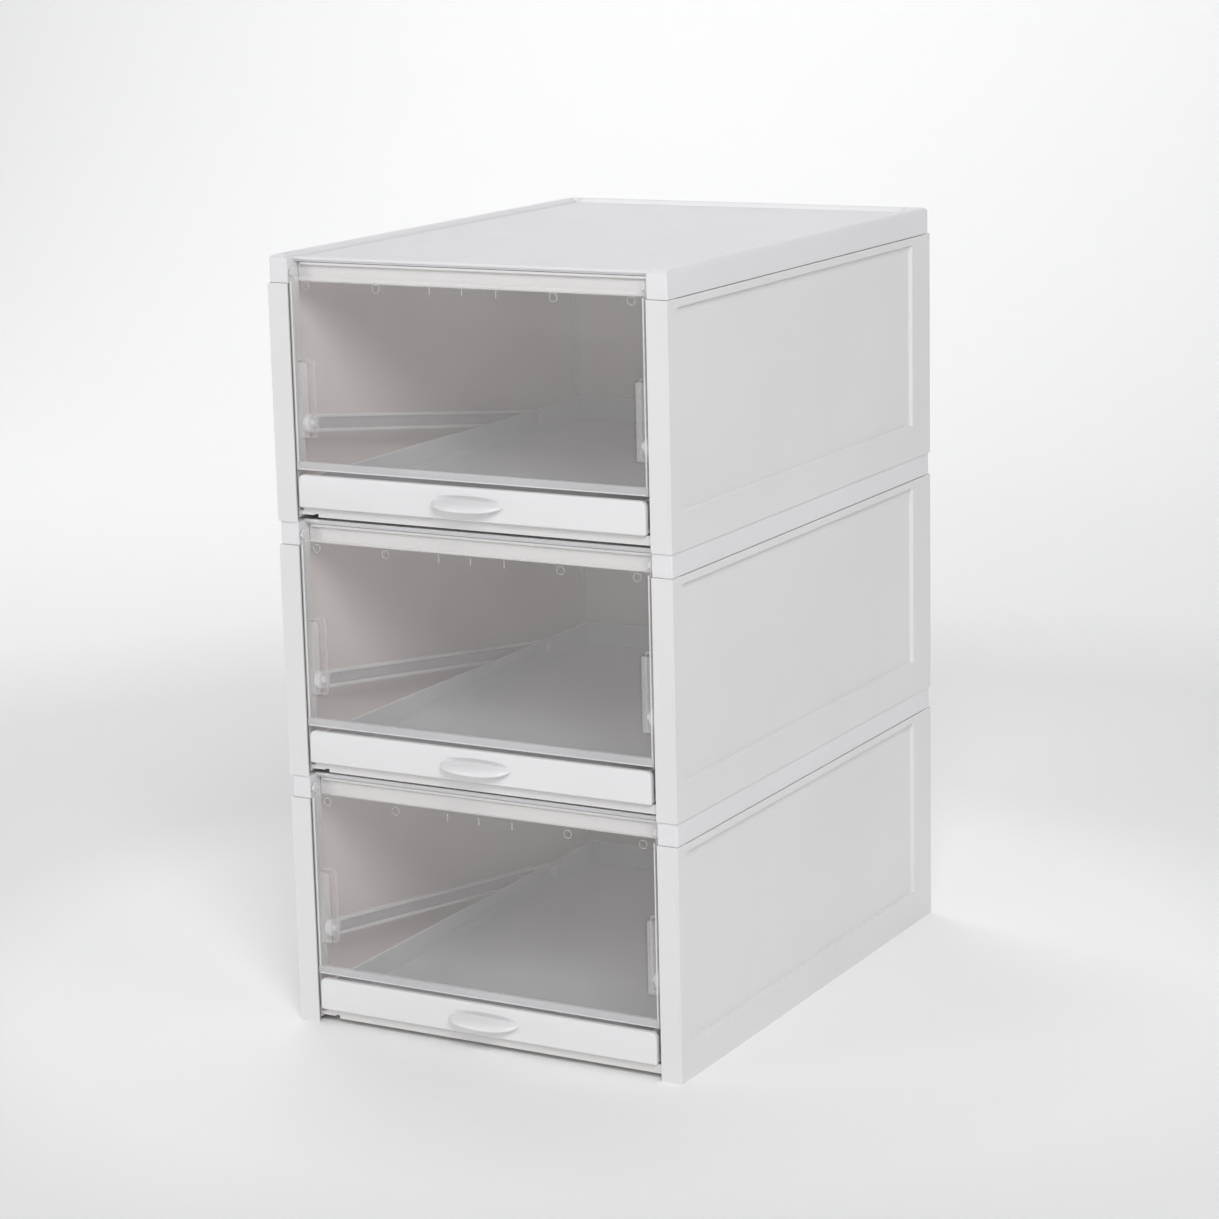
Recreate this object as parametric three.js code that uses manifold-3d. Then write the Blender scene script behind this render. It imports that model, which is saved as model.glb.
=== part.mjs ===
// A stack of three drawer-front shoe boxes. In each unit a shallow tray slides out, and two link
// arms on the tray push a clear, top-hinged flap door up and out of the way.
// Units are millimetres. The origin is at the bottom centre, the fronts face -Y and +Z is up.
// Inside a unit, y is the distance behind the front face and z is the height above the unit's base.
import * as THREE from "three";
import { mergeVertices } from "three/addons/utils/BufferGeometryUtils.js";
import Module from "manifold-3d";

const wasm = await Module();
wasm.setup();

// ---- Driving dimensions ----
const UNIT_NAMES = ["bottom", "middle", "top"];
const PITCH = 141.5; // height of one unit in the stack
const WIDTH = 240;
const DEPTH = 325;
const GAP = 0.3; // running gap between neighbouring pieces

const HALF = WIDTH / 2;
const SKIN = 3.4; // side panel thickness at its border
const SKIN_IN = HALF - SKIN; // |x| of the side panel's inner face
const POST_IN = 107.7; // |x| of the front post's inner edge
const POST_DEEP = 10;
const SEAM = 128.8; // height of the seam between side panel and cover
const SEAM_GROOVE = 0.2; // extra opening of that seam between the post and the rear corner
const RECESS = { deep: 2.1, slope: 0.8, y: [10.6, 300], z: [19.6, 124.4] };

const COVER_HALF = HALF - 0.65;
const COVER_FRONT = 1.1;
const COVER_BACK = DEPTH - 0.8;
const COVER_EDGE = 3; // radius of the cover's top edges
const COVER_TOP = 143.7; // the rim's top, which nests inside the next unit
const TOP_PANEL = 141.7;
const TOP_SHEET = 2; // thickness of the cover's top sheet
const RIM_IN = 108.8; // |x| where the rim's inner slope meets the top panel
const RIM_FLAT = 112.2; // |x| of the rim's inner top edge
const COVER_WALL = 2.7;
const NEST = 2.7; // height of the relief that fits over the cover below
const NEST_GAP = 0.2; // room around the cover in that relief
const LIP = { y: [7, 8.6], z: [141, 142.4] };

const DOOR = { half: 106.7, y: [1, 3], z: [28.9, 132.4], flange: 1.3, ear: 3.3 };
const HINGE = { y: 4, z: 133.8, pin: 2, hole: 2.4 };
const POCKET = { inner: 98, y: [3, 9], z: [44.7, 87.8], wall: 1.2, corner: 2.5 };

const ARM = { inner: 101.8, outer: 105, length: 240, end: 4.7, tip: [9.8, 53], pivotZ: 19.5 };
const ARM_PIN = { radius: 2, tip: 99.5 };
const PIVOT = { pin: 2.2, trayHole: 2.55, armHole: 2.6, head: 3.5 };

const TRAY = { half: 105.2, wallIn: 99.5, wallOut: 101.5, floor: [9.3, 11.3], y: [2.4, 301] };
const TRAY_WALL_TOP = 25;
const FRONT = { half: 105.5, y: [-0.9, 2.1], z: [8.6, 26.5], topCorner: 3.4, bottomCorner: 1.2 };
const PULL = { half: 21.5, out: 9.2, high: 5.2, z: 17.7 };
const PULL_REACH = PULL.out - FRONT.y[0]; // how far the pull stands in front of the front face

const SILL = { y: [2.6, 5], z: [3.2, 8.3] };
const BASE_PLATE = [5.1, 7.1]; // heights of the base panel's sheet
const RUNNER_TOP = 9;

const armRise = Math.asin((ARM.tip[1] - ARM.pivotZ) / ARM.length);
const pivotY = ARM.tip[0] + ARM.length * Math.cos(armRise);

// ---- Finishes ----
const plastic = (color, roughness) => new THREE.MeshStandardMaterial({ color, roughness, metalness: 0 });
const casing = plastic(0xe6e5e3, 0.42);
const coverTop = plastic(0xdfdfe4, 0.45);
const trayGrey = plastic(0xd3d6dc, 0.5);
const frontWhite = plastic(0xe9e9ec, 0.4);
const armWhite = plastic(0xf0efed, 0.35);
const clear = plastic(0xdcdfe6, 0.12);
clear.transparent = true;
clear.opacity = 0.35;

// ---- Solids ----
// A closed geometry as a solid that can be joined and cut.
function solid(geometry) {
  const bare = (geometry.index ? geometry.toNonIndexed() : geometry.clone()).deleteAttribute("normal");
  bare.deleteAttribute("uv");
  const merged = mergeVertices(bare, 1e-4);
  return new wasm.Manifold(
    new wasm.Mesh({
      numProp: 3,
      vertProperties: new Float32Array(merged.attributes.position.array),
      triVerts: new Uint32Array(merged.index.array),
    }),
  );
}

function geometryOf(body) {
  const mesh = body.getMesh();
  const geometry = new THREE.BufferGeometry();
  geometry.setAttribute("position", new THREE.BufferAttribute(new Float32Array(mesh.vertProperties), 3));
  geometry.setIndex(new THREE.BufferAttribute(new Uint32Array(mesh.triVerts), 1));
  geometry.computeVertexNormals();
  return geometry;
}

function block([x0, x1], [y0, y1], [z0, z1]) {
  const geometry = new THREE.BoxGeometry(Math.abs(x1 - x0), y1 - y0, z1 - z0);
  return solid(geometry.translate((x0 + x1) / 2, (y0 + y1) / 2, (z0 + z1) / 2));
}

// A block whose far face, at the end of the given axis, is grown by "slope" on its other two axes.
function flaredBlock(x, y, z, axis, slope) {
  const centre = [x, y, z].map(([a, b]) => (a + b) / 2);
  const size = [x, y, z].map(([a, b]) => Math.abs(b - a));
  const geometry = new THREE.BoxGeometry(...size).translate(...centre);
  const position = geometry.attributes.position;
  for (let i = 0; i < position.count; i++) {
    const point = [position.getX(i), position.getY(i), position.getZ(i)];
    if (point[axis] > centre[axis]) {
      for (let k = 0; k < 3; k++) if (k !== axis) point[k] += Math.sign(point[k] - centre[k]) * slope;
    }
    position.setXYZ(i, ...point);
  }
  return solid(geometry);
}

// An outline in (x, y), extruded upwards from z0 to z1.
function upright(shape, z0, z1) {
  return solid(new THREE.ExtrudeGeometry(shape, { depth: z1 - z0, bevelEnabled: false, curveSegments: 4 })
    .translate(0, 0, z0));
}

// An outline in (y, z), extruded along x from x0 to x1.
function alongX(shape, x0, x1, curveSegments = 5) {
  const geometry = new THREE.ExtrudeGeometry(shape, { depth: x1 - x0, bevelEnabled: false, curveSegments });
  const turn = new THREE.Matrix4().makeBasis(
    new THREE.Vector3(0, 1, 0), new THREE.Vector3(0, 0, 1), new THREE.Vector3(1, 0, 0));
  return solid(geometry.applyMatrix4(turn).translate(x0, 0, 0));
}

// An outline in (x, z), extruded along y from y0 to y1.
function alongY(shape, y0, y1) {
  const geometry = new THREE.ExtrudeGeometry(shape, { depth: y1 - y0, bevelEnabled: false, curveSegments: 4 });
  const turn = new THREE.Matrix4().makeBasis(
    new THREE.Vector3(1, 0, 0), new THREE.Vector3(0, 0, 1), new THREE.Vector3(0, -1, 0));
  return solid(geometry.applyMatrix4(turn).translate(0, y1, 0));
}

function outline(points) {
  return new THREE.Shape(points.map(([a, b]) => new THREE.Vector2(a, b)));
}

function roundedRectangle([a0, a1], [b0, b1], radius) {
  const shape = new THREE.Shape();
  shape.absarc(a1 - radius, b0 + radius, radius, -Math.PI / 2, 0);
  shape.absarc(a1 - radius, b1 - radius, radius, 0, Math.PI / 2);
  shape.absarc(a0 + radius, b1 - radius, radius, Math.PI / 2, Math.PI);
  shape.absarc(a0 + radius, b0 + radius, radius, Math.PI, Math.PI * 1.5);
  return shape;
}

// A straight bar with round ends, from the origin to "length" along the first axis.
function capsule(length, radius) {
  const shape = new THREE.Shape();
  shape.absarc(length, 0, radius, -Math.PI / 2, Math.PI / 2);
  shape.absarc(0, 0, radius, Math.PI / 2, Math.PI * 1.5);
  return shape;
}

// A round bar along x, centred on (y, z).
function rod([x0, x1], y, z, radius, segments = 16) {
  const geometry = new THREE.CylinderGeometry(radius, radius, Math.abs(x1 - x0), segments);
  return solid(geometry.rotateZ(Math.PI / 2).translate((x0 + x1) / 2, y, z));
}

function ellipsoid(x, y, z, rx, ry, rz) {
  return solid(new THREE.SphereGeometry(1, 28, 12).scale(rx, ry, rz).translate(x, y, z));
}

const join = (first, ...others) => others.reduce((all, next) => all.add(next), first);
const cut = (first, ...others) => others.reduce((all, next) => all.subtract(next), first);

// The same piece on the left (side -1) or the right (side 1) of the unit.
const onSide = (body, side) => (side > 0 ? body : body.mirror([1, 0, 0]));

// ---- Sub-parts, each made once and used in every unit ----
function sidePanel(side) {
  const plan = outline([
    [POST_IN, 0], [HALF, 0], [HALF, DEPTH], [SKIN_IN, DEPTH], [SKIN_IN, 321], [113.6, 321],
    [113.6, 319], [SKIN_IN, 319], [SKIN_IN, 2.6], [110, 2.6], [110, POST_DEEP], [POST_IN, POST_DEEP],
  ]);
  const ledge = block([108.4, SKIN_IN + 0.2], [2.5, 320], [NEST + 0.1, 4.8]);
  const relief = block(
    [100, COVER_HALF + NEST_GAP], [COVER_FRONT - NEST_GAP, COVER_BACK + NEST_GAP], [-1, NEST]);
  const top = SEAM - 0.1;
  const groove = block([HALF - 10, HALF + 1], [POST_DEEP, 317], [top - SEAM_GROOVE, top + 1]);
  const wall = join(cut(upright(plan, 0, top), relief, groove), ledge);
  return onSide(cut(wall, recess()), side);
}

// The shallow framed panel on the outside of each side wall.
function recess() {
  const { deep, slope, y, z } = RECESS;
  const floorY = [y[0] + slope, y[1] - slope];
  const floorZ = [z[0] + slope, z[1] - slope];
  const reach = 2 * deep;
  return flaredBlock([HALF - deep, HALF - deep + reach], floorY, floorZ, 0, slope * 2);
}

function backPanel() {
  const sheet = block([-SKIN_IN + GAP, SKIN_IN - GAP], [321.3, 324.6], [NEST + 0.2, SEAM - 0.2]);
  const field = flaredBlock([-96, 96], [322.9, 325.6], [22, 108], 1, 2);
  return cut(sheet, field);
}

function basePanel() {
  const sheet = block([-SKIN_IN + GAP, SKIN_IN - GAP], [3, 318.6], BASE_PLATE);
  const sill = block([-POST_IN + GAP, POST_IN - GAP], SILL.y, SILL.z);
  const notch = block([-POST_IN, -95.6], [SILL.y[0] - 1, SILL.y[1] + 1], [SILL.z[0] - 1, SILL.z[0] + 1.1]);
  const window = block([-98.4, -95.6], [SILL.y[0] - 1, SILL.y[1] + 1], [SILL.z[0] - 1, 5]);
  const tabHole = block([-POST_IN, -104.6], [SILL.y[0] - 1, SILL.y[0] + 1.6], [6.4, 10]);
  const postClear = [-1, 1].map((s) => block([s * 107.4, s * 111], [0, POST_DEEP + GAP], [5, 8]));
  const runners = [-1, 1].flatMap((s) => [
    block([s * 60, s * 62.5], [8, 316], [BASE_PLATE[1] - 0.5, RUNNER_TOP]),
    block([s * 96, s * 98.5], [8, 316], [BASE_PLATE[1] - 0.5, RUNNER_TOP]),
    block([s * 105.6, s * 107.2], [12, 316], [BASE_PLATE[1] - 0.5, 14]),
  ]);
  return cut(join(cut(sheet, ...postClear), sill, ...runners), notch, window, tabHole);
}

// An outline whose two upper corners are rounded.
function archedOutline([a0, a1], [b0, b1], radius) {
  const shape = new THREE.Shape();
  shape.moveTo(a0, b0);
  shape.lineTo(a1, b0);
  shape.absarc(a1 - radius, b1 - radius, radius, 0, Math.PI / 2);
  shape.absarc(a0 + radius, b1 - radius, radius, Math.PI / 2, Math.PI);
  return shape;
}

// The cover: a rimmed lid whose front corners carry the door's hinge holes.
function topCover() {
  const height = [SEAM + 0.1, COVER_TOP];
  const across = archedOutline([-COVER_HALF, COVER_HALF], height, COVER_EDGE);
  const along = archedOutline([COVER_FRONT, COVER_BACK], height, COVER_EDGE);
  const plan = roundedRectangle([-COVER_HALF, COVER_HALF], [COVER_FRONT, COVER_BACK], 1);
  const shell = upright(plan, ...height)
    .intersect(alongY(across, 0, DEPTH))
    .intersect(alongX(along, -HALF, HALF, 4));
  const under = TOP_PANEL - TOP_SHEET;
  const wallIn = COVER_HALF - COVER_WALL;
  const cavity = block([-wallIn, wallIn], [11.4, COVER_BACK - COVER_WALL], [100, under]);
  const mouth = block([-POST_IN - 0.1, POST_IN + 0.1], [-1, 12], [100, under]);
  const frontNotch = block([-POST_IN - 0.1, POST_IN + 0.1], [-1, LIP.y[0]], [100, 160]);
  const edgeRebate = block([-POST_IN - 0.1, POST_IN + 0.1], [LIP.y[0] - 1, LIP.y[1]], [100, LIP.z[0]]);
  const slope = RIM_FLAT - RIM_IN;
  const top = flaredBlock(
    [-RIM_IN, RIM_IN], [-20, COVER_BACK - COVER_HALF + RIM_IN], [TOP_PANEL, COVER_TOP], 2, slope);
  const cornerHollows = [-1, 1].map((s) => block([s * 110.9, s * wallIn], [4, 12], [100, under]));
  const hingeHoles = [-1, 1].map((s) => rod([s * (POST_IN - 1), s * 110.3], HINGE.y, HINGE.z, HINGE.hole));
  const lip = block([-POST_IN - 0.4, POST_IN + 0.4], LIP.y, LIP.z);
  const tabs = [-1, 1].flatMap((s) =>
    [60, 162, 264].map((y) => block([s * 114.4, s * (wallIn + 0.3)], [y - 7, y + 7], [121, under + 0.5])));
  return join(
    cut(shell, cavity, mouth, frontNotch, edgeRebate, top, ...cornerHollows, ...hingeHoles),
    lip, ...tabs.map((tab) => cut(tab, block([-HALF, HALF], [0, DEPTH], [100, SEAM + 0.1])
      .subtract(block([-SKIN_IN + GAP, SKIN_IN - GAP], [0, DEPTH], [90, SEAM + 0.2])))));
}

// The stepped rail across the front, under the cover's lip.
function frontBeam() {
  const top = TOP_PANEL - TOP_SHEET - GAP;
  const face = outline([[10.8, 129.3], [11.6, 128.5], [13.8, 128.5], [13.8, top], [10.8, top]]);
  const ledge = outline([[8.6, 137.9], [11.4, 137.1], [11.4, top], [8.6, top]]);
  return join(
    alongX(face, -POST_IN + GAP, POST_IN - GAP),
    alongX(ledge, -104.9, 104.9));
}

function pocket(side) {
  const { inner, y, z, wall, corner } = POCKET;
  const outside = roundedRectangle([inner, DOOR.half - 0.5], z, corner);
  const inside = roundedRectangle([inner + wall, 120], [z[0] + wall, z[1] - wall], corner - wall);
  const ring = alongY(outside, y[0] - 0.5, y[1]).subtract(alongY(inside, y[0] - 1, y[1] + 1));
  return onSide(ring, side);
}

function doorFlange(side) {
  const { ear } = DOOR;
  const shape = new THREE.Shape();
  shape.moveTo(DOOR.y[0], DOOR.z[0]);
  shape.lineTo(DOOR.y[0] + 2 * ear, DOOR.z[0]);
  shape.absarc(DOOR.y[0] + ear, HINGE.z, ear, 0, Math.PI);
  const strip = alongX(shape, DOOR.half - DOOR.flange, DOOR.half, 8);
  const pin = rod([DOOR.half - 0.5, 109.9], HINGE.y, HINGE.z, HINGE.pin);
  return onSide(join(strip, pin), side);
}

function door() {
  const pane = block([-DOOR.half, DOOR.half], DOOR.y, DOOR.z);
  const edge = block([-DOOR.half, DOOR.half], [0.5, 3.6], [DOOR.z[0], DOOR.z[0] + 4.4]);
  return join(pane, edge, doorFlange(-1), doorFlange(1), pocket(-1), pocket(1));
}

// The arm lies along +y from its front pin at the origin; the mesh is then turned to its slope.
function linkArm(side) {
  const bar = alongX(capsule(ARM.length, ARM.end), ARM.inner, ARM.outer);
  const web = roundedRectangle([6.4, ARM.length - 8], [-3, 3], 1.6);
  const webs = [
    alongX(web, ARM.inner - 1, ARM.inner + 0.9, 2),
    alongX(web, ARM.outer - 0.9, ARM.outer + 1, 2),
  ];
  const eye = rod([ARM.inner - 1, ARM.outer + 1], ARM.length, 0, PIVOT.armHole);
  const pin = rod([ARM_PIN.tip, ARM.inner + 0.5], 0, 0, ARM_PIN.radius);
  return onSide(join(cut(bar, ...webs, eye), pin), side);
}

// A headed pin: its small outer head holds the arm, its inner head sits inside the tray wall.
function pivotPin(side) {
  const profile = [
    [0, 97.9], [PIVOT.head - 0.6, 97.9], [PIVOT.head, 98.5], [PIVOT.head, 99.2], [PIVOT.pin, 99.2],
    [PIVOT.pin, 105.3], [PIVOT.head - 0.3, 105.3], [PIVOT.head - 0.3, 105.9], [0, 105.9],
  ];
  const turned = new THREE.LatheGeometry(profile.map(([r, x]) => new THREE.Vector2(r, x)), 16);
  const pin = solid(turned.rotateZ(-Math.PI / 2).translate(0, pivotY, ARM.pivotZ));
  return onSide(pin, side);
}

function tray() {
  const floor = block([-TRAY.half, TRAY.half], TRAY.y, TRAY.floor);
  const walls = block([-TRAY.wallOut, TRAY.wallOut], TRAY.y, [TRAY.floor[0] + 0.5, TRAY_WALL_TOP]);
  const hollow = block(
    [-TRAY.wallIn, TRAY.wallIn], [TRAY.y[0] + 2, TRAY.y[1] - 2], [TRAY.floor[1], TRAY_WALL_TOP + 5]);
  const holes = rod([-TRAY.half, TRAY.half], pivotY, ARM.pivotZ, PIVOT.trayHole);
  return cut(join(floor, walls), hollow, holes);
}

// The tray's front plate with its scooped finger pull.
function trayFront() {
  const { half, y, z, topCorner, bottomCorner } = FRONT;
  const upper = archedOutline([-half, half], z, topCorner);
  const lower = roundedRectangle([-half, half], [z[0], z[1] + 5], bottomCorner);
  const plate = alongY(upper, ...y).intersect(alongY(lower, ...y));
  const lump = ellipsoid(0, FRONT.y[0], PULL.z, PULL.half, PULL.out, PULL.high);
  const dish = ellipsoid(0, FRONT.y[0] - 0.6, PULL.z + 4.9, PULL.half - 2.6, PULL.out - 2, PULL.high - 1.2);
  const front = block([-HALF, HALF], [-40, FRONT.y[0] + 0.4], [0, 60]);
  return join(plate, cut(lump, dish).intersect(front));
}

// ---- Assembly ----
function piece(name, body, material) {
  const mesh = new THREE.Mesh(geometryOf(body), material);
  mesh.name = name;
  return mesh;
}

// The frame that an arm hangs in: its front pin's place and its slope.
function atArm(mesh) {
  mesh.position.set(0, ARM.tip[0], ARM.tip[1]);
  mesh.rotation.x = -armRise;
  return mesh;
}

const bodies = {
  base: basePanel(),
  back: backPanel(),
  cover: topCover(),
  beam: frontBeam(),
  door: door(),
  tray: tray(),
  trayFront: trayFront(),
};

function unit(name) {
  const group = new THREE.Group();
  group.add(
    piece("base_panel_" + name, bodies.base, casing),
    piece("back_panel_" + name, bodies.back, casing),
    piece("top_cover_" + name, bodies.cover, coverTop),
    piece("front_beam_" + name, bodies.beam, casing),
    piece("flap_door_" + name, bodies.door, clear),
    piece("tray_" + name, bodies.tray, trayGrey),
    piece("tray_front_" + name, bodies.trayFront, frontWhite),
  );
  for (const [hand, side] of [["left", -1], ["right", 1]]) {
    group.add(
      piece("side_panel_" + hand + "_" + name, sidePanel(side), casing),
      atArm(piece("link_arm_" + hand + "_" + name, linkArm(side), armWhite)),
      piece("arm_pivot_pin_" + hand + "_" + name, pivotPin(side), armWhite),
    );
  }
  return group;
}

const stack = new THREE.Group();
UNIT_NAMES.forEach((name, i) => {
  const box = unit(name);
  box.position.set(0, (PULL_REACH - DEPTH) / 2, i * PITCH);
  stack.add(box);
});

export default stack;
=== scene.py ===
import math

import bmesh
import bpy
from mathutils import Matrix, Vector


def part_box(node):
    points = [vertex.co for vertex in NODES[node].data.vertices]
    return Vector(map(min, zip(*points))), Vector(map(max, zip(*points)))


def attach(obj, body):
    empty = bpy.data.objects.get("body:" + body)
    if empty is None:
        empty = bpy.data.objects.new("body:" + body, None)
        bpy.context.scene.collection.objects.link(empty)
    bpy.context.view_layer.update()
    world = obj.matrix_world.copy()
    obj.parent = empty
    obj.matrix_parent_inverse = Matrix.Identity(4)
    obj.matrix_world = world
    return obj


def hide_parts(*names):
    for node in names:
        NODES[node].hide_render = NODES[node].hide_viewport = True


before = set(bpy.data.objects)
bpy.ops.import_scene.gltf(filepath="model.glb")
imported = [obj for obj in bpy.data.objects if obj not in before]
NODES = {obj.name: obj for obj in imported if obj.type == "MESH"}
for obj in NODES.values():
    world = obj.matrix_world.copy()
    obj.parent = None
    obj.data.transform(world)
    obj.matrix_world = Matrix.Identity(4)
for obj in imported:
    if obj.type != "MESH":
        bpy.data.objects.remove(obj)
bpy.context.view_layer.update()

# A stack of three drawer-front shoe boxes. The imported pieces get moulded-plastic finishes and
# softened edges, and the clear doors and the tray fronts are rebuilt with their fine detail.
# Lengths are in metres. Fronts face -Y, +Z is up, and all three units are alike.

MM = 0.001
UNITS = ("bottom", "middle", "top")
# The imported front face: the fronts of the posts, in the frame's own y.
FRONT_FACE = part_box("side_panel_left_bottom")[0].y
WELD = 1e-6  # corners closer than this are one


# ---- Node helpers ----
MIX_FIRST, MIX_SECOND, MIX_RESULT = 6, 7, 2  # a Mix node's colour sockets


def link(tree, output, target):
    tree.links.new(output, target)


def node(tree, kind, **values):
    """A new shader node; a value is a setting of the node or, failing that, one of its inputs."""
    made = tree.nodes.new("ShaderNode" + kind)
    for name, value in values.items():
        if hasattr(made, name):
            setattr(made, name, value)
        else:
            made.inputs[name.replace("_", " ")].default_value = value
    return made


def noise(tree, place, scale, detail=2.0):
    """A noise in the object's own metres; scale is in features per metre."""
    made = node(tree, "TexNoise", Scale=scale, Detail=detail)
    link(tree, place.outputs["Object"], made.inputs["Vector"])
    return made.outputs["Fac"]


def ramp(tree, factor, low, high, start=0.35, end=0.65):
    """Blends from one colour to the other as the factor goes from start to end."""
    made = node(tree, "ValToRGB")
    stops = made.color_ramp.elements
    stops[0].position, stops[0].color = start, (*low, 1)
    stops[1].position, stops[1].color = end, (*high, 1)
    link(tree, factor, made.inputs["Fac"])
    return made


def scaled(tree, value, start, end, low=0.0, high=1.0):
    """A number that goes from low to high as the value goes from start to end."""
    made = node(tree, "MapRange", From_Min=start, From_Max=end, To_Min=low, To_Max=high)
    link(tree, value, made.inputs["Value"])
    return made.outputs["Result"]


def spread(tree, factor, low, high):
    """A number from low to high that follows a noise."""
    return scaled(tree, factor, 0.3, 0.7, low, high)


def axis(tree, place, name):
    """The object's own position along one axis."""
    spot = node(tree, "SeparateXYZ")
    link(tree, place.outputs["Object"], spot.inputs[0])
    return spot.outputs[name]


def facing(tree, place, direction, start, end):
    """How far a face looks in a direction, as a number from 0 to 1."""
    turned = node(tree, "VectorMath", operation="DOT_PRODUCT")
    link(tree, place.outputs["Normal"], turned.inputs[0])
    turned.inputs[1].default_value = direction
    return scaled(tree, turned.outputs["Value"], start, end)


def blend(tree, amount, first, second):
    """The first colour where the amount is 0, and the second, which may be a plain one, where it is 1."""
    made = node(tree, "Mix", data_type="RGBA")
    link(tree, amount, made.inputs["Factor"])
    link(tree, first, made.inputs[MIX_FIRST])
    if isinstance(second, tuple):
        made.inputs[MIX_SECOND].default_value = (*second, 1)
    else:
        link(tree, second, made.inputs[MIX_SECOND])
    return made.outputs[MIX_RESULT]


def bump(tree, height, distance, strength, below=None):
    """The shading normal of a low relief, on top of another one if given."""
    made = node(tree, "Bump", Distance=distance, Strength=strength)
    link(tree, height, made.inputs["Height"])
    if below is not None:
        link(tree, below, made.inputs["Normal"])
    return made.outputs["Normal"]


# ---- Finishes, some with painted light and shade ----
# Painted shade: a dark line on the posts' inner faces, where the gap beside the door lies in shade.
PAINTED_GAP_SHADE = (0.22, 0.21, 0.19)
PAINTED_GAP_SHADE_DEPTHS = (1.0 * MM, 2.1 * MM)  # depths behind the front face between which the painted shade of the gap beside the door lies
PAINTED_GAP_SHADE_EDGE = 0.1 * MM  # how soon the painted gap shade begins and ends
INNER_LIGHT_DEPTHS = (10.0 * MM, 11.6 * MM)  # depths between which the outer colour turns into the inner one, the painted light and shade inside the box
DEEPEST = 20.0 * MM  # the depth at which the ramp of those colours ends
RIM_FOOT_SHADE_REACH = (105.0 * MM, 110.8 * MM)  # distances from the middle between which the rim's foot is painted darker, a painted shade
RIM_SHADE = (0.66, 0.655, 0.66)
PLASTIC_IOR = 1.49
CLEAR_IOR = 1.5
SHEET_WAVE = 0.4 * MM  # how high the slow waves of a thin sheet stand
GRAIN = 0.1 * MM  # how high a matt grain stands
GRAIN_STRENGTH = 0.012
CLEAR_WAVE_STRENGTH = 0.08


def painted_inside_light_and_shade(tree, place, colours, outer, inner, inside):
    """Faces that look inside the box take the inner colour, which paints the light and shade inside the
    box, with a painted dark shade in the gap beside the door's edge.
    """
    depth = scaled(tree, axis(tree, place, "Y"), FRONT_FACE, FRONT_FACE + DEEPEST)
    gap_shade_start, gap_shade_end = PAINTED_GAP_SHADE_DEPTHS
    turn, turned = INNER_LIGHT_DEPTHS
    shades = ramp(tree, depth, outer, inner, (gap_shade_start - PAINTED_GAP_SHADE_EDGE) / DEEPEST, turned / DEEPEST)
    stops = ((gap_shade_start, PAINTED_GAP_SHADE), (gap_shade_end, PAINTED_GAP_SHADE), (gap_shade_end + PAINTED_GAP_SHADE_EDGE, outer), (turn, outer))
    for reached, shade in stops:
        shades.color_ramp.elements.new(reached / DEEPEST).color = (*shade, 1)
    return blend(tree, facing(tree, place, inside, 0.3, 0.8), colours, shades.outputs["Color"])


def painted_rim_foot_shade(tree, place, tint):
    """A painted shade along the foot of the cover's raised rim, on faces that look up."""
    across = node(tree, "Math", operation="ABSOLUTE")
    link(tree, axis(tree, place, "X"), across.inputs[0])
    reach = scaled(tree, across.outputs["Value"], *RIM_FOOT_SHADE_REACH)
    line = ramp(tree, reach, (0, 0, 0), (0, 0, 0), 0.0, 1.0)
    line.color_ramp.elements.new(0.5).color = (1, 1, 1, 1)
    both = node(tree, "Math", operation="MULTIPLY")
    link(tree, line.outputs["Color"], both.inputs[0])
    link(tree, facing(tree, place, (0, 0, 1), 0.6, 0.8), both.inputs[1])
    return blend(tree, both.outputs["Value"], tint, RIM_SHADE)


def blank_material(name):
    """A new material, its node tree, its shader and the texture coordinates."""
    made = bpy.data.materials.new(name)
    made.use_nodes = True
    tree = made.node_tree
    return made, tree, tree.nodes["Principled BSDF"].inputs, node(tree, "TexCoord")


def moulded_plastic(name, colour, roughness, wave=0.04, inner=None, inside=None, rim_foot_shaded=False):
    """Opaque moulded plastic: faint colour drift, a fine matt grain and the slow waves of a thin sheet,
    with painted light and shade inside the box and at the rim's foot where asked for.
    """
    made, tree, shader, place = blank_material(name)
    dark = tuple(c * 0.975 for c in colour)
    tint = ramp(tree, noise(tree, place, 9.0), dark, colour).outputs["Color"]
    if inner:
        tint = painted_inside_light_and_shade(tree, place, tint, colour, inner, inside)
    if rim_foot_shaded:
        tint = painted_rim_foot_shade(tree, place, tint)
    link(tree, tint, shader["Base Color"])
    smear = noise(tree, place, 38.0, detail=4.0)
    link(tree, spread(tree, smear, roughness - 0.03, roughness + 0.03), shader["Roughness"])
    waves = bump(tree, noise(tree, place, 16.0, detail=1.0), SHEET_WAVE, wave)
    grains = bump(tree, noise(tree, place, 2400.0, detail=1.0), GRAIN, GRAIN_STRENGTH, below=waves)
    link(tree, grains, shader["Normal"])
    shader["IOR"].default_value = PLASTIC_IOR
    return made


def clear_plastic(name, colour, alpha, roughness):
    """Clear moulded plastic with a slight haze; alpha is how much one surface hides."""
    made, tree, shader, place = blank_material(name)
    haze = noise(tree, place, 11.0, detail=3.0)
    link(tree, spread(tree, haze, alpha * 0.88, alpha * 1.12), shader["Alpha"])
    shader["Base Color"].default_value = (*colour, 1)
    smear = noise(tree, place, 30.0, detail=3.0)
    link(tree, spread(tree, smear, roughness - 0.04, roughness + 0.06), shader["Roughness"])
    waves = bump(tree, noise(tree, place, 22.0, detail=1.0), SHEET_WAVE, CLEAR_WAVE_STRENGTH)
    link(tree, waves, shader["Normal"])
    shader["IOR"].default_value = CLEAR_IOR
    return made


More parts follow.
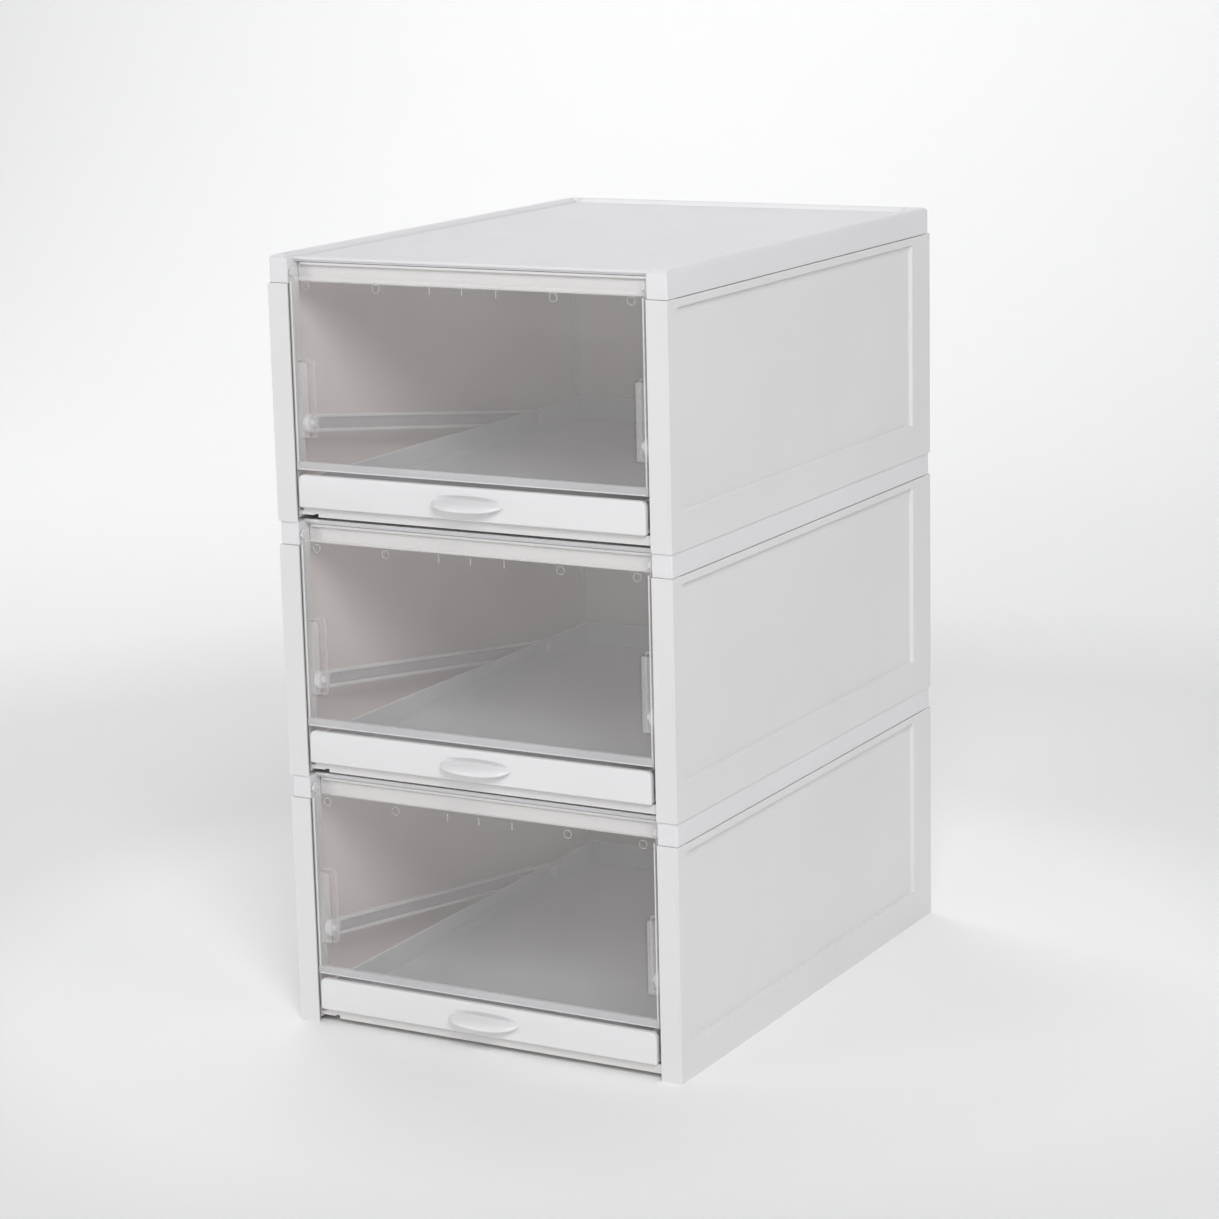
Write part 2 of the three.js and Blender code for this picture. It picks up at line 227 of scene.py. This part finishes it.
OFF_WHITE = (0.795, 0.785, 0.783)
PAINTED_WARM_LIGHT = (0.92, 0.83, 0.79)
# Painted shade: the base, whose sill lies under the tray front's overhang, is darker than the casing
# plastic.
SHADED_BASE = moulded_plastic("base_plastic_painted_shade", (0.74, 0.73, 0.72), 0.40)
# Painted shade: the beam, under the cover's front lip, is a little darker than the casing plastic.
SHADED_BEAM = moulded_plastic("beam_plastic_painted_shade", (0.77, 0.757, 0.748), 0.36)
# Painted warm light: inside the box the sides and back take a warmer, brighter colour than the same
# plastic outside.
LEFT = moulded_plastic("left_side_plastic", OFF_WHITE, 0.36, inner=PAINTED_WARM_LIGHT, inside=(1, 0, 0))
RIGHT = moulded_plastic("right_side_plastic", OFF_WHITE, 0.36, inner=PAINTED_WARM_LIGHT, inside=(-1, 0, 0))
BACK = moulded_plastic("back_plastic", OFF_WHITE, 0.40, inner=(0.97, 0.89, 0.86), inside=(0, -1, 0))
# Painted light and shade: the cover is a little bluer than the sides, as cool light from above, and its
# underside inside the box is painted darker, as shade.
COVER = moulded_plastic(
    "cover_plastic", (0.805, 0.797, 0.815), 0.36, inner=(0.62, 0.58, 0.56), inside=(0, 0, -1), rim_foot_shaded=True)
TRAY = moulded_plastic("tray_plastic", (0.65, 0.66, 0.685), 0.36)
FRONT = moulded_plastic("tray_front_plastic", (0.82, 0.812, 0.82), 0.30, wave=0.01)
ARM = moulded_plastic("arm_plastic", (0.88, 0.875, 0.87), 0.32)
# Painted highlight: the tops of the tray's walls are lighter, as if catching the light.
TRAY_RIM_HIGHLIGHT = moulded_plastic("tray_rim_highlight_plastic", (0.90, 0.90, 0.91), 0.34)
PANE = clear_plastic("clear_pane", (0.84, 0.825, 0.82), 0.145, 0.16)
RETURN = clear_plastic("clear_return", (0.88, 0.87, 0.865), 0.40, 0.30)
BAND = clear_plastic("clear_band", (0.86, 0.865, 0.88), 0.40, 0.24)
RIM = clear_plastic("clear_rim", (0.92, 0.92, 0.92), 0.26, 0.28)
EAR = clear_plastic("clear_ear", (0.88, 0.88, 0.88), 0.62, 0.30)
BEAD = clear_plastic("clear_bead", (0.92, 0.92, 0.92), 0.55, 0.24)
WEB = clear_plastic("arm_web", (0.56, 0.555, 0.575), 0.50, 0.32)
POCKET = clear_plastic("clear_pocket", (0.88, 0.87, 0.87), 0.13, 0.32)

CAD_FINISH = {
    "base_panel": SHADED_BASE,
    "back_panel": BACK,
    "top_cover": COVER,
    "front_beam": SHADED_BEAM,
    "side_panel_left": LEFT,
    "side_panel_right": RIGHT,
    "arm_pivot_pin_left": ARM,
    "arm_pivot_pin_right": ARM,
}
# Widths of the rounded edges, in millimetres.
EDGE_ROUND = {"top_cover": 0.45, "side_panel_left": 0.6, "side_panel_right": 0.6, "front_beam": 0.5}
FINE_ROUND = 0.3


# ---- CAD pieces kept as they are ----
def soften(piece, width):
    """Small rounded edges on a kept CAD piece, as a moulding has."""
    weld = piece.modifiers.new("weld", "WELD")
    weld.merge_threshold = WELD
    edge = piece.modifiers.new("edge", "BEVEL")
    edge.width = width
    edge.segments = 2
    edge.limit_method = "ANGLE"
    edge.angle_limit = math.radians(32)
    edge.use_clamp_overlap = True
    edge.harden_normals = True


def finish_cad_pieces():
    """Gives the kept CAD pieces their finishes and soft edges."""
    for unit in UNITS:
        for kind, finish in CAD_FINISH.items():
            piece = NODES[f"{kind}_{unit}"]
            piece.data.materials.clear()
            piece.data.materials.append(finish)
            soften(piece, EDGE_ROUND.get(kind, FINE_ROUND) * MM)


# ---- Pieces built here ----
def clean_copy(node_name):
    """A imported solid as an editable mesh, welded and with its flat faces whole."""
    mesh = bmesh.new()
    mesh.from_mesh(NODES[node_name].data)
    mesh.transform(NODES[node_name].matrix_world)
    bmesh.ops.remove_doubles(mesh, verts=mesh.verts, dist=WELD)
    flat = math.radians(0.5)
    bmesh.ops.dissolve_limit(mesh, angle_limit=flat, verts=mesh.verts, edges=mesh.edges)
    return mesh


def round_edges(mesh, width, segments=2):
    """Rounds every edge whose faces meet at a clear angle."""
    least = math.radians(30)
    sharp = [e for e in mesh.edges if len(e.link_faces) == 2 and e.calc_face_angle() > least]
    bmesh.ops.bevel(
        mesh, geom=sharp, offset=width, segments=segments, profile=0.5, affect="EDGES",
        clamp_overlap=True)


def add_piece(name, mesh, finishes, body, slot, *replaced):
    """Makes the mesh a named piece that rides on a body and stands for the replaced nodes."""
    data = bpy.data.meshes.new(name)
    mesh.normal_update()
    mesh.to_mesh(data)
    mesh.free()
    for finish in finishes:
        data.materials.append(finish)
    data.polygons.foreach_set("use_smooth", [True] * len(data.polygons))
    data.set_sharp_from_angle(angle=math.radians(35))
    piece = bpy.data.objects.new(name, data)
    bpy.context.scene.collection.objects.link(piece)
    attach(piece, body)
    if replaced:
        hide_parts(*replaced)


DOOR_FINISHES = (PANE, RETURN, BAND, RIM, POCKET, EAR)
MARK_FINISHES = (RIM, POCKET, BEAD)
PANE_FRONT = 1.0 * MM  # depths behind the front face
PANE_BACK = 3.0 * MM
PANE_REACH = 3.8 * MM  # the deepest that a face of the pane lies
DOOR_RIM = 8.2 * MM  # the depth behind which a pocket's rim lies
BAND_HIGH = 4.4 * MM  # how high the thicker bottom edge is
HINGE_ZONE = 12.0 * MM  # how far below the door's top its hinge ears reach
PANE_TOP = 7.0 * MM  # how far below the door's top its marks are measured from
POCKET_X = (97.0 * MM, 105.0 * MM)
POCKET_FLOOR_Z = (17.3 * MM, 57.4 * MM)  # heights above the door's bottom

# The door's marks in millimetres: rings and ribs from left to right, and how far below the pane's
# top they are.
RING_X = (-98, -54, 53, 98)
RING_BELOW = 2.6
RING_RADIUS, RING_THICK, RING_PROUD = 2.2, 0.2, 0.22
RIB_X = (-21, -1.5, 19)
RIB_BELOW = 2.4
RIB_HALF = (0.25, 0.2, 2.0)


def door_finish(face, bottom, top):
    """Which of the door's finishes a face takes: thicker and edge-on stretches look whiter."""
    middle = face.calc_center_median()
    depth = middle.y - FRONT_FACE
    if middle.z > top - HINGE_ZONE:
        return EAR if abs(middle.x) > POCKET_X[0] else PANE
    if middle.z < bottom + BAND_HIGH:
        return BAND
    if POCKET_X[0] < abs(middle.x) < POCKET_X[1] and depth > PANE_BACK:
        return RIM if depth > DOOR_RIM else POCKET
    if abs(face.normal.y) > 0.7 and depth < PANE_REACH:
        return PANE
    return RETURN


def bar(mesh, low, high, finish):
    """A plain bar between two corners, added to the mesh with one of the marks' finishes."""
    middle, size = (low + high) / 2, high - low
    place = Matrix.Translation(middle) @ Matrix.Diagonal((*size, 1))
    made = bmesh.ops.create_cube(mesh, size=1.0, matrix=place)
    for face in {f for v in made["verts"] for f in v.link_faces}:
        face.material_index = MARK_FINISHES.index(finish)


def ring(mesh, centre):
    """A fine raised ring on the door's inner face, as an ejector pin leaves."""
    turns, around = 28, 6
    rows = []
    for i in range(turns):
        a = 2 * math.pi * i / turns
        row = []
        for k in range(around):
            b = 2 * math.pi * k / around
            reach = (RING_RADIUS + RING_THICK * math.cos(b)) * MM
            out = RING_PROUD * MM * math.sin(b)
            row.append(mesh.verts.new(centre + Vector((reach * math.cos(a), out, reach * math.sin(a)))))
        rows.append(row)
    for row, after in zip(rows, rows[1:] + rows[:1]):
        for k in range(around):
            n = (k + 1) % around
            mesh.faces.new((row[k], row[n], after[n], after[k]))


def pane_marks(mesh, pane_top):
    """Four rings and three short ribs along the pane's top."""
    back = FRONT_FACE + PANE_BACK
    for x in RING_X:
        ring(mesh, Vector((x * MM, back + 0.1 * MM, pane_top - RING_BELOW * MM)))
    for x in RIB_X:
        middle = Vector((x * MM, back + 0.2 * MM, pane_top - RIB_BELOW * MM))
        half = Vector(RIB_HALF) * MM
        bar(mesh, middle - half, middle + half, RIM)


def door_beads(mesh, bottom, pane_top):
    """The fine beads down the pane's sides and along its bottom, and the pockets' thick floors."""
    front, back = FRONT_FACE + PANE_FRONT, FRONT_FACE + PANE_BACK
    for side in (-1, 1):
        edge = side * 105.8 * MM
        low = Vector((edge - 0.4 * MM, front - 0.25 * MM, bottom + BAND_HIGH))
        high = Vector((edge + 0.4 * MM, front + 0.1 * MM, pane_top - 0.5 * MM))
        bar(mesh, low, high, BEAD)
        floor = side * 102.6 * MM
        low = Vector((floor - 3.2 * MM, back + 0.05 * MM, bottom + POCKET_FLOOR_Z[0]))
        high = Vector((floor + 3.2 * MM, back + 0.5 * MM, bottom + POCKET_FLOOR_Z[1]))
        bar(mesh, low, high, POCKET)
    low = Vector((-105.3 * MM, front - 0.7 * MM, bottom + 0.2 * MM))
    high = Vector((105.3 * MM, front - 0.4 * MM, bottom + 0.9 * MM))
    bar(mesh, low, high, BEAD)


def door_marks(unit, bottom, pane_top):
    """The small moulding marks on a door, as one piece."""
    mesh = bmesh.new()
    pane_marks(mesh, pane_top)
    door_beads(mesh, bottom, pane_top)
    bmesh.ops.recalc_face_normals(mesh, faces=mesh.faces)
    add_piece(f"door_marks_{unit}", mesh, MARK_FINISHES, f"flap_door_{unit}_body", "clear_door")


def clear_door(unit):
    """The clear door with soft edges, its stretches finished by their place, and its marks."""
    node_name = f"flap_door_{unit}"
    mesh = clean_copy(node_name)
    bottom, top = (corner.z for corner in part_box(node_name))
    round_edges(mesh, FINE_ROUND * MM)
    for face in mesh.faces:
        face.material_index = DOOR_FINISHES.index(door_finish(face, bottom, top))
    body = f"flap_door_{unit}_body"
    add_piece(f"clear_door_{unit}", mesh, DOOR_FINISHES, body, "clear_door", node_name)
    door_marks(unit, bottom, top - PANE_TOP)


WEB_X = (102.4 * MM, 104.4 * MM)  # distances from the middle between which an arm's thin web lies


def link_arm(unit, hand):
    """An arm whose thin web lets some light through between its thick white borders."""
    node_name = f"link_arm_{hand}_{unit}"
    mesh = clean_copy(node_name)
    round_edges(mesh, FINE_ROUND * MM)
    for face in mesh.faces:
        across = abs(face.calc_center_median().x)
        face.material_index = int(abs(face.normal.x) > 0.9 and WEB_X[0] < across < WEB_X[1])
    add_piece(f"arm_{hand}_{unit}", mesh, (ARM, WEB), f"link_arms_{unit}", "link_arm", node_name)


TRAY_HIGHLIGHT_REACH = 0.6 * MM  # how far below the tray's top its painted highlight reaches


def tray_body(unit):
    """The tray with soft edges; the tops of its thin walls take a painted highlight, a lighter colour."""
    node_name = f"tray_{unit}"
    mesh = clean_copy(node_name)
    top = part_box(node_name)[1].z
    round_edges(mesh, 0.45 * MM, segments=3)
    for face in mesh.faces:
        face.material_index = int(face.calc_center_median().z > top - TRAY_HIGHLIGHT_REACH)
    body = f"tray_{unit}_body"
    add_piece(f"tray_pan_{unit}", mesh, (TRAY, TRAY_RIM_HIGHLIGHT), body, "tray", node_name)


def smooth_path(points, steps):
    """A Catmull-Rom curve through the points."""
    ends = [points[0], *points, points[-1]]
    path = []
    for i in range(1, len(ends) - 2):
        a, b, c, d = (Vector(p) for p in ends[i - 1:i + 3])
        for k in range(steps):
            t = k / steps
            path.append(0.5 * (2 * b + (c - a) * t + (2 * a - 5 * b + 4 * c - d) * t * t
                               + (3 * b - a - 3 * c + d) * t * t * t))
    return path + [Vector(points[-1])]


# The finger pull's middle section: how far out and how far above the tips' level, in millimetres.
PULL_SECTION = [
    (-0.6, 3.3), (0.1, 3.1), (1.8, 2.7), (3.8, 2.2), (5.8, 1.4), (7.3, 0.4), (8.4, -0.9),
    (8.8, -2.1), (8.3, -3.0), (6.8, -3.5), (3.6, -3.7), (0.1, -3.8), (-0.6, -3.9),
]
PULL_SCOOP = (19.4, 0.8, 2.2)  # half sizes of the hollow behind the lip
PULL_SCOOP_HIGH = 2.4
PULL_HALF = 21.5
PULL_COLUMNS = 72
PULL_TIP_SHARE = 0.9995  # how near the tips the outermost sections come
PULL_TIP_HIGH = 8.8  # the tips' level above the plate's bottom
PULL_FULLNESS = 2.3  # how squarely the pull's outline turns in to its tips


def pull_mesh(front, bottom):
    """The scooped lip: its section shrinks towards both tips along a full, round outline."""
    section = smooth_path(PULL_SECTION, 4)
    mesh = bmesh.new()
    rows = []
    for i in range(PULL_COLUMNS + 1):
        along = -math.cos(math.pi * i / PULL_COLUMNS) * PULL_TIP_SHARE
        share = (1 - abs(along) ** PULL_FULLNESS) ** 0.5
        rows.append([
            mesh.verts.new((
                along * PULL_HALF * MM,
                front - (max(out, 0) * share + min(out, 0)) * MM,
                bottom + (PULL_TIP_HIGH + high * share) * MM))
            for out, high in section])
    for left, right in zip(rows, rows[1:]):
        for k in range(len(section)):
            n = (k + 1) % len(section)
            mesh.faces.new((left[k], left[n], right[n], right[k]))
    mesh.faces.new(rows[0][::-1])
    mesh.faces.new(rows[-1])
    bmesh.ops.recalc_face_normals(mesh, faces=mesh.faces)
    return mesh


def arc(x, z, radius, start, steps=8):
    """A quarter turn of points round (x, z), from the start angle in degrees."""
    turns = [math.radians(start + 90 * i / steps) for i in range(steps + 1)]
    return [(x + radius * math.cos(t), z + radius * math.sin(t)) for t in turns]


PLATE_PROUD = 0.9 * MM  # how far the tray's front stands in front of the posts
PLATE_THICK = 3.0 * MM
PLATE_ROUND = 0.9 * MM
CORNER_UP, CORNER_DOWN = 3.4 * MM, 1.2 * MM


def plate_mesh(low, high, front):
    """The tray's front plate: larger round corners above than below, and soft front edges."""
    up, down = CORNER_UP, CORNER_DOWN
    outline = (
        arc(high.x - down, low.z + down, down, -90, 4) + arc(high.x - up, high.z - up, up, 0)
        + arc(low.x + up, high.z - up, up, 90) + arc(low.x + down, low.z + down, down, 180, 4))
    mesh = bmesh.new()
    face = mesh.faces.new([mesh.verts.new((x, front, z)) for x, z in outline])
    made = bmesh.ops.extrude_face_region(mesh, geom=[face])
    moved = [g for g in made["geom"] if isinstance(g, bmesh.types.BMVert)]
    bmesh.ops.translate(mesh, verts=moved, vec=(0, PLATE_THICK, 0))
    bmesh.ops.recalc_face_normals(mesh, faces=mesh.faces)
    rim = [e for e in mesh.edges if all(abs(v.co.y - front) < WELD for v in e.verts)]
    bmesh.ops.bevel(mesh, geom=rim, offset=PLATE_ROUND, segments=4, profile=0.5, affect="EDGES")
    return mesh


def scoop_mesh(front, bottom):
    """The hollow behind the pull's lip, as a solid to be cut away."""
    mesh = bmesh.new()
    place = Matrix.Translation((0, front, bottom + (PULL_TIP_HIGH + PULL_SCOOP_HIGH) * MM))
    size = Matrix.Diagonal((*(half * MM for half in PULL_SCOOP), 1))
    bmesh.ops.create_uvsphere(mesh, u_segments=48, v_segments=24, radius=1.0, matrix=place @ size)
    return mesh


def helper_object(mesh, name):
    """A passing object for a mesh that is to be joined or cut."""
    data = bpy.data.meshes.new(name)
    mesh.to_mesh(data)
    mesh.free()
    made = bpy.data.objects.new(name, data)
    bpy.context.scene.collection.objects.link(made)
    return made


def combined(first, second, operation):
    """One closed mesh from two: their union, or the first less the second."""
    base, other = helper_object(first, "base_helper"), helper_object(second, "other_helper")
    step = base.modifiers.new("step", "BOOLEAN")
    step.operation = operation
    step.solver = "EXACT"
    step.object = other
    seen = base.evaluated_get(bpy.context.evaluated_depsgraph_get())
    mesh = bmesh.new()
    mesh.from_mesh(seen.to_mesh())
    seen.to_mesh_clear()
    for helper in (base, other):
        bpy.data.meshes.remove(helper.data)
    return mesh


def tray_front(unit):
    """The tray's front plate with its scooped finger pull."""
    node_name = f"tray_front_{unit}"
    low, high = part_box(node_name)
    front = FRONT_FACE - PLATE_PROUD
    mesh = combined(plate_mesh(low, high, front), pull_mesh(front, low.z), "UNION")
    mesh = combined(mesh, scoop_mesh(front, low.z), "DIFFERENCE")
    add_piece(f"tray_plate_{unit}", mesh, (FRONT,), f"tray_{unit}_body", "tray_front", node_name)


# ---- Stage, light and camera ----
SWEEP_NEAR, SWEEP_FAR, SWEEP_HIGH, SWEEP_HALF = -6.0, 2.6, 3.0, 6.0
SWEEP_BEND = 1.2  # the radius of the bend between floor and wall
SWEEP_STEPS = 24
PAPER = (0.985, 0.985, 0.98)
# The paper's painted light and shade: a pool of light near the stack and greys further off, each with its
# distance in metres from the middle of the stack.
PAPER_PAINTED_SHADES = ((0.44, 0.90), (0.75, 0.84), (1.0, 0.91))
PAPER_POOL_REACH = 0.34  # the distance up to which the painted pool of light keeps the paper's full white


def sweep_mesh():
    """A floor that bends up into a wall behind the object."""
    profile = [(SWEEP_NEAR, 0.0), (SWEEP_FAR - SWEEP_BEND, 0.0)]
    for i in range(1, SWEEP_STEPS + 1):
        turn = math.pi / 2 * i / SWEEP_STEPS
        along = SWEEP_FAR - SWEEP_BEND + SWEEP_BEND * math.sin(turn)
        profile.append((along, SWEEP_BEND - SWEEP_BEND * math.cos(turn)))
    profile.append((SWEEP_FAR, SWEEP_HIGH))
    mesh = bpy.data.meshes.new("studio_sweep")
    points = [(x, y, z) for y, z in profile for x in (-SWEEP_HALF, SWEEP_HALF)]
    faces = [(2 * i, 2 * i + 1, 2 * i + 3, 2 * i + 2) for i in range(len(profile) - 1)]
    mesh.from_pydata(points, [], faces)
    mesh.polygons.foreach_set("use_smooth", [True] * len(faces))
    return mesh


def paper_material():
    """Matt white paper with painted light and shade: whitest near the stack and greyer away from it."""
    paper, tree, shader, place = blank_material("studio_paper")
    reach = node(tree, "VectorMath", operation="LENGTH")
    link(tree, place.outputs["Object"], reach.inputs[0])
    near, grey = PAPER_PAINTED_SHADES[0]
    tones = ramp(tree, reach.outputs["Value"], PAPER, (grey, grey, grey), PAPER_POOL_REACH, near)
    for reached, tone in PAPER_PAINTED_SHADES[1:]:
        tones.color_ramp.elements.new(reached).color = (tone, tone, tone, 1)
    link(tree, tones.outputs["Color"], shader["Base Color"])
    shader["Roughness"].default_value = 0.9
    shader["Specular IOR Level"].default_value = 0.1
    return paper


def stage():
    """The pale paper sweep under and behind the stack."""
    mesh = sweep_mesh()
    sweep = bpy.data.objects.new("studio_sweep", mesh)
    bpy.context.scene.collection.objects.link(sweep)
    mesh.materials.append(paper_material())


AIR = (0.965, 0.975, 1.0)
AIR_LIGHT, AIR_SEEN = 0.30, 0.85  # the air's strength as a light, and as seen behind the stage
MIDDLE = (0, 0, 0.2)
# Each soft light: name, place, point it faces, width and power.
LIGHTS = (
    ("left_fill", (-1.57, -2.24, 0.78), MIDDLE, 1.2, 11.4),
    ("right_key", (1.32, -1.88, 1.81), MIDDLE, 1.2, 36.8),
    ("side_fill", (2.29, -0.20, 1.81), MIDDLE, 1.2, 7.3),
    ("wall_light", (-1.2, 0.9, 2.3), (-1.7, 2.3, 0.5), 1.4, 31),
)


def area_light(name, place, aim, size, power):
    """A round soft light that faces a point."""
    lamp = bpy.data.lights.new(name, "AREA")
    lamp.shape = "DISK"
    lamp.size = size
    lamp.energy = power
    made = bpy.data.objects.new(name, lamp)
    bpy.context.scene.collection.objects.link(made)
    made.location = place
    made.rotation_euler = (Vector(aim) - Vector(place)).to_track_quat("-Z", "Y").to_euler()


def lights():
    """Pale studio air and four soft lights."""
    world = bpy.data.worlds.new("studio_air")
    bpy.context.scene.world = world
    world.use_nodes = True
    tree = world.node_tree
    sky = tree.nodes["Background"]
    sky.inputs["Color"].default_value = (*AIR, 1)
    seen = node(tree, "LightPath").outputs["Is Camera Ray"]
    link(tree, scaled(tree, seen, 0.0, 1.0, AIR_LIGHT, AIR_SEEN), sky.inputs["Strength"])
    for light in LIGHTS:
        area_light(*light)


# The view in degrees: round from the front, up from the floor and the camera's own tilt.
AZIMUTH, ELEVATION, ROLL = 29.194, 12.514, -1.357
FRAMED = (0.0831, FRONT_FACE, 0.2517)  # the point in the middle of the picture
DISTANCE = 1.6913
LENS = 97.58
SENSOR = 36.0


def camera():
    """The camera: it looks at the framed point from its direction and distance."""
    azimuth, elevation, roll = (math.radians(a) for a in (AZIMUTH, ELEVATION, ROLL))
    flat = math.cos(elevation)
    back = Vector((math.sin(azimuth) * flat, -math.cos(azimuth) * flat, math.sin(elevation)))
    level = Vector((math.cos(azimuth), math.sin(azimuth), 0))
    upright = back.cross(level)
    right = level * math.cos(roll) + upright * math.sin(roll)
    up = upright * math.cos(roll) - level * math.sin(roll)
    lens = bpy.data.cameras.new("camera")
    lens.sensor_width = SENSOR
    lens.lens = LENS
    lens.clip_start = 0.05
    made = bpy.data.objects.new("camera", lens)
    bpy.context.scene.collection.objects.link(made)
    turn = Matrix((right, up, back)).transposed().to_4x4()
    made.matrix_world = Matrix.Translation(Vector(FRAMED) + back * DISTANCE) @ turn
    bpy.context.scene.camera = made


camera()
stage()
lights()
finish_cad_pieces()
for unit in UNITS:
    clear_door(unit)
    tray_body(unit)
    tray_front(unit)
    for hand in ("left", "right"):
        link_arm(unit, hand)

scene = bpy.context.scene
scene.view_settings.view_transform = "Standard"
scene.cycles.transparent_max_bounces = 32
scene.cycles.diffuse_bounces = 6
scene.cycles.max_bounces = 14
